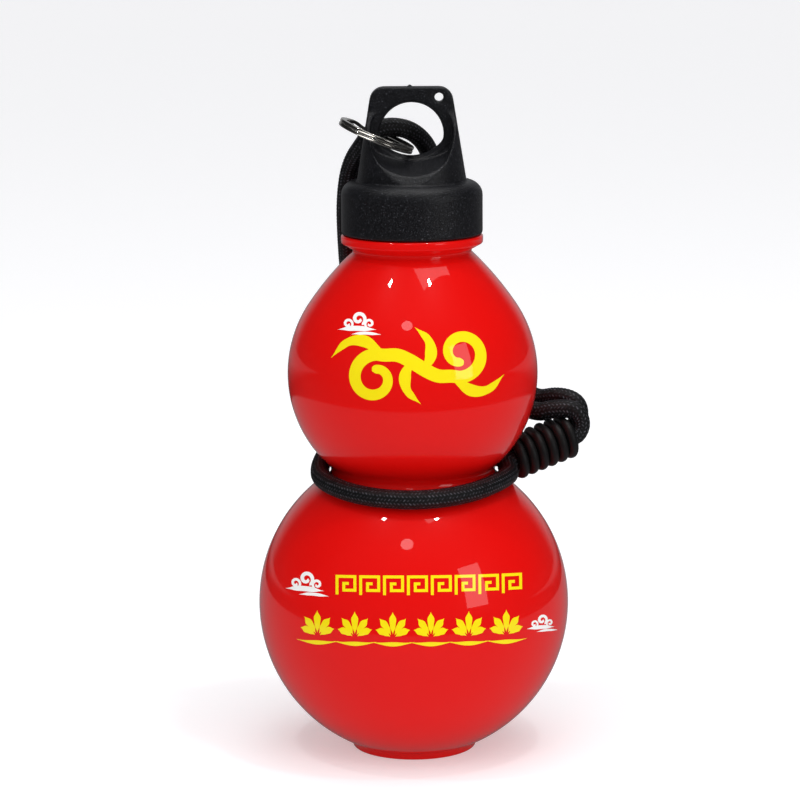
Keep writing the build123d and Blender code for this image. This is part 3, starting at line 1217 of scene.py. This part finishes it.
@dataclass
class Ornament:
    """The printed ornament: traditional scrolls, frets and clouds of plain design, in yellow and white."""

    upper_r: float = 40.0
    upper_z: float = 122.826
    lower_r: float = 50.0
    lower_z: float = 47.826

    def vine(self, x: float, z: float, size: float, width: float) -> list[Stroke]:
        """A scrolling vine: an S-shaped stem that ends in two spirals, with a pair of leaves on each half.

        Args:
            x: The stem's middle, right of the bulb's middle.
            z: The stem's middle, above the bulb's middle.
            size: Each spiral's outer radius.
            width: The stroke's full width.

        Returns:
            Its strokes.
        """
        turns, steps, start, tightening = 1.12, 18, math.radians(248), 0.68
        half = [(0.36, -0.22), (0.82, -0.42)]
        for index in range(steps + 1):
            share = index / steps
            angle = start + FULL_TURN * turns * share
            radius = 1 - tightening * share
            half.append((1.72 + radius * math.cos(angle), 0.5 + radius * math.sin(angle)))
        stem = [(-right, -up) for right, up in reversed(half)] + [(0.0, 0.0)] + half
        sized = tuple((x + size * right, z + size * up) for right, up in stem)
        strokes = [Stroke(sized, tuple(width * share for share in (0.7, 0.85, 1.0, 1.1, 1.0, 0.85, 0.7)))]
        leaves = (
            ((0.3, -0.1), (0.52, 0.42), (0.42, 1.02), (-0.12, 1.55)),
            ((1.5, -0.55), (2.15, -1.0), (2.85, -0.95), (3.5, -0.35)),
        )
        for side in Side:
            for leaf in leaves:
                reach = side.value * size
                points = tuple((x + reach * right, z + reach * up) for right, up in leaf)
                strokes.append(Stroke(points, (width * 0.55, width * 0.95, width * 0.6, 0.12)))
        return strokes

    def cloud(self, x: float, z: float, size: float) -> list[Stroke]:
        """A small cloud: three curls on a base of two tapering streaks.

        Args:
            x: Its middle, right of the bulb's middle.
            z: Its base, above the bulb's middle.
            size: Its half width.

        Returns:
            Its strokes.
        """
        turns, steps, start, tightening, bow = 1.2, 13, -math.pi * 0.35, 0.74, 0.05
        strokes = []
        for right, up, radius, way in ((-0.52, 0.26, 0.26, 1), (0.04, 0.5, 0.36, 1), (0.6, 0.24, 0.25, -1)):
            points = []
            for index in range(steps + 1):
                share = index / steps
                angle = start + FULL_TURN * turns * share
                reach = size * radius * (1 - tightening * share)
                across = size * right + way * reach * math.cos(angle)
                points.append((x + across, z + size * up + reach * math.sin(angle)))
            width = size * radius * 0.5
            strokes.append(Stroke(tuple(points), (width * 0.8, width, width, width * 0.8)))
        for drop, left, right, width in ((-0.04, -1.05, 0.95, 0.26), (-0.3, -0.35, 1.2, 0.15)):
            points = tuple(
                (x + size * (left + (right - left) * index / 4), z + size * (drop + bow * math.sin(index)))
                for index in range(5)
            )
            strokes.append(Stroke(points, (0.1, width * size, width * size, 0.1)))
        return strokes

    def fret(self, x: float, z: float, size: float) -> Stroke:
        """One square fret: a line that turns in on itself.

        Args:
            x: Its left edge, right of the bulb's middle.
            z: Its base, above the bulb's middle.
            size: Its width.

        Returns:
            Its stroke.
        """
        corners = ((0.0, 0.0), (0.0, 1.0), (1.0, 1.0), (1.0, 0.25), (0.38, 0.25), (0.38, 0.62), (0.66, 0.62))
        width = size * 0.16
        return Stroke(tuple((x + size * a, z + size * b) for a, b in corners), (width, width), curved=False)

    def lotus(self, x: float, z: float, size: float) -> list[Stroke]:
        """A lotus flower from the side: five petals on a bowed leaf.

        Args:
            x: Its middle, right of the bulb's middle.
            z: Its base, above the bulb's middle.
            size: Its height.

        Returns:
            Its strokes.
        """
        strokes = []
        for lean, tall in ((-62, 0.72), (-33, 0.9), (0, 1.0), (33, 0.9), (62, 0.72)):
            points = []
            for share in (0.0, 0.35, 0.7, 1.0):
                reach = size * tall * (0.18 + 0.82 * share)
                angle = math.radians(lean) * (0.75 + 0.25 * share)
                points.append((x + reach * math.sin(angle), z + reach * math.cos(angle)))
            strokes.append(Stroke(tuple(points), (0.1, size * 0.2, size * 0.26, 0.08)))
        leaf = tuple(
            (x + size * right, z - size * (0.08 + 0.12 * (1 - right * right)))
            for right in (-0.8, -0.4, 0.0, 0.4, 0.8)
        )
        strokes.append(Stroke(leaf, (0.1, size * 0.16, 0.1)))
        return strokes

    def build(self, yellow: Material, white: Material) -> list[Object]:
        """Makes the four prints.

        Args:
            yellow: The yellow ink.
            white: The white ink.

        Returns:
            The prints.
        """
        upper, lower = (self.upper_r, self.upper_z), (self.lower_r, self.lower_z)
        rows = [self.fret(-24.0 + index * 7.4, 4.6, 5.6) for index in range(8)]
        for index in range(6):
            rows += self.lotus(-30.3 + index * 11.8, -9.0, 8.4)
        lower_clouds = self.cloud(-34.0, 6.0, 6.2) + self.cloud(40.2, -6.9, 4.6)
        return [
            Print("print_upper_vine", *upper, self.vine(1.5, 1.8, 7.7, 3.9)).build(yellow),
            Print("print_lower_rows", *lower, rows).build(yellow),
            Print("print_upper_clouds", *upper, self.cloud(-17.0, 13.5, 6.0)).build(white),
            Print("print_lower_clouds", *lower, lower_clouds).build(white),
        ]


@dataclass(frozen=True)
class SoftBox:
    """A soft box that faces the bottle, with its direction, distance and size in metres, and its radiance."""

    name: str
    toward: Point
    distance: float
    size: FlatPoint
    radiance: float
    face: LampFace = LampFace.RECTANGLE

    def make(self, middle: Vector) -> Object:
        """Makes the lamp.

        Args:
            middle: The point that it faces.

        Returns:
            The lamp.
        """
        width, height = self.size
        data = bpy.data.lights.new(self.name, "AREA")
        data.shape = self.face.value
        data.size = width
        if self.face is LampFace.RECTANGLE:
            data.size_y = height
        data.energy = self.radiance * math.pi * width * height
        lamp = bpy.data.objects.new(self.name, data)
        lamp.location = middle + Vector(self.toward).normalized() * self.distance
        lamp.rotation_euler = (middle - lamp.location).to_track_quat("-Z", "Y").to_euler()
        bpy.context.scene.collection.objects.link(lamp)
        return lamp


@dataclass(frozen=True)
class Daylight:
    """A broad even light that doesn't show in reflections, with its width in the sky in degrees."""

    name: str
    toward: Point
    softness: float
    strength: float

    def make(self) -> None:
        """Makes the light."""
        data = bpy.data.lights.new(self.name, "SUN")
        data.energy = self.strength
        data.angle = math.radians(self.softness)
        lamp = bpy.data.objects.new(self.name, data)
        lamp.rotation_euler = (-Vector(self.toward)).to_track_quat("-Z", "Y").to_euler()
        lamp.visible_glossy = False
        bpy.context.scene.collection.objects.link(lamp)


@dataclass
class Studio:
    """The camera at the photograph's angle, a pale floor and soft studio light."""

    camera_place: Point = (-0.00409, -1.06036, 0.30661)
    pitch: float = 10.3
    roll: float = -0.3055
    lens: float = 151.2
    sensor: float = 36.0
    sight: FlatPoint = (0.05, 50.0)
    floor_colour: str = "#E4E4E6"
    floor_mirrored_colour: str = "#69696C"
    far_floor_colour: str = "#101012"
    glow_colour: str = "#FAFAFC"
    floor_reach: float = 9.0
    near_middle: Point = (0.0, 0.12, 0.0)
    near_r: float = 0.39
    near_blur: float = 0.02
    behind: FlatPoint = (0.4, 1.2)
    floor_glow: float = 0.11
    floor_seen_glow: float = 0.29
    floor_lift: float = 0.1
    ambient_colour: str = "#FFFFFF"
    ambient: float = 0.14
    mirrored_colour: str = "#F2F4F8"
    mirror_edge: FlatPoint = (0.72, 0.96)
    backdrop: float = 0.38
    room: float = 0.02
    seen_colour: str = "#F4F4F6"
    lit_middle: Point = (0.0, 0.0, 0.1)
    top_panel: SoftBox = SoftBox("top_panel", (0.12, 0.12, 0.98), 1.3, (1.0, 0.75), 1.4)
    left_spot: SoftBox = SoftBox("left_spot_box", (-0.3219, -0.2016, 0.9251), 1.1, (0.05, 0.05), 130.0)
    right_spot: SoftBox = SoftBox("right_spot_box", (0.2559, -0.2315, 0.9386), 1.1, (0.05, 0.05), 130.0)
    front_round: SoftBox = SoftBox(
        "front_round_box", (-0.08, -0.6, 0.8), 1.1, (0.17, 0.17), 2.6, LampFace.DISK
    )
    side_soft: SoftBox = SoftBox("side_soft_box", (0.7, -0.65, 0.29), 1.2, (0.36, 0.6), 2.0)
    ring_card: SoftBox = SoftBox("ring_card", (-0.55, -0.80, 0.07), 1.1, (1.1, 0.24), 3.2)
    front_daylight: Daylight = Daylight("front_daylight", (0.05, -1.0, 0.12), 150.0, 2.1)
    top_daylight: Daylight = Daylight("top_daylight", (0.1, -0.25, 1.0), 60.0, 0.8)

    def camera(self) -> None:
        """Makes the camera."""
        data = bpy.data.cameras.new("camera")
        data.lens = self.lens
        data.sensor_width = self.sensor
        data.clip_start, data.clip_end = self.sight
        camera = bpy.data.objects.new("camera", data)
        bpy.context.scene.collection.objects.link(camera)
        tip = Matrix.Rotation(math.radians(90 - self.pitch), 4, "X")
        roll = Matrix.Rotation(math.radians(self.roll), 4, "Z")
        camera.matrix_world = Matrix.Translation(self.camera_place) @ tip @ roll
        bpy.context.scene.camera = camera

    def floor_colours(
        self, tree: NodeTree, place: NodeSocket, seen: NodeSocket
    ) -> tuple[NodeSocket, NodeSocket]:
        """Makes the floor's colour, which in reflections is pale only near the bottle and behind it.

        Args:
            tree: The floor's node tree.
            place: The place on the floor.
            seen: One where the floor isn't seen in a reflection.

        Returns:
            The colour, and the share of paleness in reflections.
        """
        apart = add_node(
            tree, "ShaderNodeVectorMath", {"operation": "DISTANCE"}, {0: place, 1: self.near_middle}
        ).outputs["Value"]
        edge = {
            "Value": apart,
            "From Min": self.near_r - self.near_blur,
            "From Max": self.near_r + self.near_blur,
            "To Min": 1.0,
            "To Max": 0.0,
        }
        near = add_node(tree, "ShaderNodeMapRange", SMOOTH, edge).outputs["Result"]
        depth = add_node(tree, "ShaderNodeSeparateXYZ", inputs={"Vector": place}).outputs["Y"]
        span = {"Value": depth, "From Min": self.behind[0], "From Max": self.behind[1]}
        behind = add_node(tree, "ShaderNodeMapRange", SMOOTH, span).outputs["Result"]
        either = {0: near, 1: behind}
        pale = add_node(tree, "ShaderNodeMath", {"operation": "MAXIMUM"}, either).outputs["Value"]
        mixed = {"Factor": pale, 6: linear(self.far_floor_colour), 7: linear(self.floor_mirrored_colour)}
        reflected = add_node(tree, "ShaderNodeMix", {"data_type": "RGBA"}, mixed).outputs[2]
        mixed = {"Factor": seen, 6: reflected, 7: linear(self.floor_colour)}
        return add_node(tree, "ShaderNodeMix", {"data_type": "RGBA"}, mixed).outputs[2], pale

    def floor(self) -> None:
        """Makes the floor: pale paper that glows a little, so that it stays even and keeps shadows."""
        material, tree = new_tree("pale matte paper")
        path = add_node(tree, "ShaderNodeLightPath")
        less = {0: 1.0, 1: path.outputs["Is Glossy Ray"]}
        seen = add_node(tree, "ShaderNodeMath", {"operation": "SUBTRACT"}, less).outputs["Value"]
        place = add_node(tree, "ShaderNodeTexCoord").outputs["Object"]
        colour, pale = self.floor_colours(tree, place, seen)
        dimmed = {0: pale, 1: self.floor_glow}
        dim = add_node(tree, "ShaderNodeMath", {"operation": "MULTIPLY"}, dimmed).outputs["Value"]
        span = {"Value": seen, "To Min": dim, "To Max": self.floor_seen_glow}
        glow = add_node(tree, "ShaderNodeMapRange", inputs=span).outputs["Result"]
        raised = {0: path.outputs["Is Camera Ray"], 1: self.floor_lift, 2: glow}
        lifted = add_node(tree, "ShaderNodeMath", {"operation": "MULTIPLY_ADD"}, raised).outputs["Value"]
        paper = add_node(tree, "ShaderNodeBsdfDiffuse", inputs={"Color": colour}).outputs["BSDF"]
        shining = {"Color": linear(self.glow_colour), "Strength": lifted}
        light = add_node(tree, "ShaderNodeEmission", inputs=shining).outputs["Emission"]
        both = add_node(tree, "ShaderNodeAddShader", inputs={0: paper, 1: light}).outputs["Shader"]
        add_node(tree, "ShaderNodeOutputMaterial", inputs={"Surface": both})
        reach = self.floor_reach
        corners = [(-reach, -reach, 0), (reach, -reach, 0), (reach, reach, 0), (-reach, reach, 0)]
        floor = new_object("floor", corners, [(0, 1, 2, 3)], material, smooth=False)

    def card(self, ring: Object) -> None:
        """Makes the long low card whose reflection brightens the split ring, and lights no other piece.

        Args:
            ring: The split ring.
        """
        card = self.ring_card.make(Vector(self.lit_middle))
        group = bpy.data.collections.new("ring_card")
        group.objects.link(ring)
        card.light_linking.receiver_collection = group
        card.visible_camera = False

    def world(self) -> None:
        """Makes the surroundings: soft light, and in reflections a dark room with a pale backdrop."""
        world = bpy.data.worlds.new("studio")
        bpy.context.scene.world = world
        world.use_nodes = True
        tree = world.node_tree
        tree.nodes.clear()
        path = add_node(tree, "ShaderNodeLightPath").outputs
        straight = {0: path["Is Camera Ray"], 1: path["Is Transmission Ray"]}
        seen = add_node(tree, "ShaderNodeMath", {"operation": "MAXIMUM"}, straight).outputs["Value"]
        direction = add_node(tree, "ShaderNodeTexCoord").outputs["Generated"]
        depth = add_node(tree, "ShaderNodeSeparateXYZ", inputs={"Vector": direction}).outputs["Y"]
        start, end = self.mirror_edge
        rise = {"From Min": start, "From Max": end, "To Min": self.room, "To Max": self.backdrop}
        span = {"Value": depth, **rise}
        behind = add_node(tree, "ShaderNodeMapRange", SMOOTH, span).outputs["Result"]
        soft, mirrored, white = (
            add_node(
                tree, "ShaderNodeBackground", inputs={"Color": linear(colour), "Strength": strength}
            ).outputs["Background"]
            for colour, strength in (
                (self.ambient_colour, self.ambient),
                (self.mirrored_colour, behind),
                (self.seen_colour, 1.0),
            )
        )
        lighting = {0: path["Is Glossy Ray"], 1: soft, 2: mirrored}
        lit = add_node(tree, "ShaderNodeMixShader", inputs=lighting).outputs["Shader"]
        showing = {0: seen, 1: lit, 2: white}
        shown = add_node(tree, "ShaderNodeMixShader", inputs=showing).outputs["Shader"]
        add_node(tree, "ShaderNodeOutputWorld", inputs={"Surface": shown})

    def build(self) -> None:
        """Makes the whole studio and sets the colours to render as written."""
        self.camera()
        self.floor()
        for box in (self.top_panel, self.left_spot, self.right_spot, self.front_round, self.side_soft):
            box.make(Vector(self.lit_middle))
        self.front_daylight.make()
        self.top_daylight.make()
        self.world()
        bpy.context.scene.view_settings.view_transform = "Standard"


NOOSE_ROUTE: tuple[Point, ...] = (
    (0.03896, 0.00945, 0.09463),
    (0.03010, 0.00657, 0.09160),
    (0.03045, -0.00290, 0.09145),
    (0.03080, -0.01240, 0.09130),
    (0.01880, -0.02920, 0.08930),
    (0.00120, -0.03590, 0.08830),
    (-0.01700, -0.03080, 0.08890),
    (-0.02900, -0.01620, 0.09060),
    (-0.03040, 0.00200, 0.09160),
    (-0.02760, 0.01980, 0.09400),
    (-0.01380, 0.03240, 0.09530),
    (0.00460, 0.03480, 0.09550),
    (0.01930, 0.02710, 0.09330),
    (0.02310, 0.02081, 0.09257),
    (0.02821, 0.01237, 0.09160),
    (0.03708, 0.01525, 0.09463),
)

CARRY_ROUTE: tuple[Point, ...] = (
    (0.03896, 0.00945, 0.09463),
    (0.04566, 0.01163, 0.09692),
    (0.05108, 0.01339, 0.09877),
    (0.05380, 0.01427, 0.09970),
    (0.05520, 0.01460, 0.10360),
    (0.05280, 0.01480, 0.10800),
    (0.04600, 0.01580, 0.10790),
    (0.04040, 0.01800, 0.10600),
    (0.02960, 0.03280, 0.10860),
    (0.01420, 0.04260, 0.10860),
    (-0.00260, 0.04440, 0.11260),
    (-0.01260, 0.04300, 0.12440),
    (-0.01800, 0.03820, 0.13780),
    (-0.02060, 0.02960, 0.15060),
    (-0.02120, 0.02020, 0.16360),
    (-0.02140, 0.01740, 0.17700),
    (-0.01960, 0.01480, 0.18860),
    (-0.01490, 0.00760, 0.19600),
    (-0.01240, 0.00630, 0.19980),
    (-0.00660, 0.00780, 0.20120),
    (0.00000, 0.01060, 0.19960),
    (0.00520, 0.01540, 0.19420),
    (0.00680, 0.02380, 0.18620),
    (0.00520, 0.02880, 0.17480),
    (0.00480, 0.03040, 0.16100),
    (0.00560, 0.03920, 0.14840),
    (0.00920, 0.04540, 0.13460),
    (0.01940, 0.04380, 0.12000),
    (0.03340, 0.03740, 0.11340),
    (0.04080, 0.02940, 0.10840),
    (0.04760, 0.02420, 0.11080),
    (0.05380, 0.02140, 0.10940),
    (0.05500, 0.02090, 0.10430),
    (0.05191, 0.02007, 0.09970),
    (0.04920, 0.01919, 0.09877),
    (0.04377, 0.01743, 0.09692),
    (0.03708, 0.01525, 0.09463),
)


def report(pieces: Iterable[Object]) -> None:
    """Logs each piece.

    Args:
        pieces: The pieces.
    """
    for piece in pieces:
        LOG.info("%s: %d faces", piece.name, len(piece.data.polygons))


def main() -> None:
    """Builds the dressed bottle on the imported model."""
    logging.basicConfig(level=logging.INFO, format="%(name)s %(message)s")
    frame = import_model()
    studio = Studio()
    studio.build()

    red = LacqueredRed().make()
    report(BottleBody().build(red))
    report([LoopCap().build(frame, ErodedBlackPlastic().make())])
    ring = SplitRing().build(NickelPlatedSteel().make())
    studio.card(ring)
    report([ring])
    seal = frame["nodes"]["cap_seal"]
    seal.data.materials.clear()
    seal.data.materials.append(PressedSilicone().make())

    braid = BraidedPolyester().make()
    winding = CinchWinding().build(ExtrudedBlackCord().make())
    noose_maker = BraidedCord("noose_cord", "strap_noose", NOOSE_ROUTE, 0.217)
    noose, noose_line = noose_maker.build(braid)
    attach(noose, "bottle")
    carry_maker = BraidedCord("carry_cord", "strap_carry_loop", CARRY_ROUTE, 0.372)
    carry, carry_line = carry_maker.build(braid)
    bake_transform(carry)
    report([winding, noose, carry])

    yellow = ScreenPrintInk("yellow screen-print enamel", "#F5E011").make()
    white = ScreenPrintInk("white screen-print enamel", "#F7F7F5").make()
    report(Ornament().build(yellow, white))


if __name__ == "__main__":
    main()
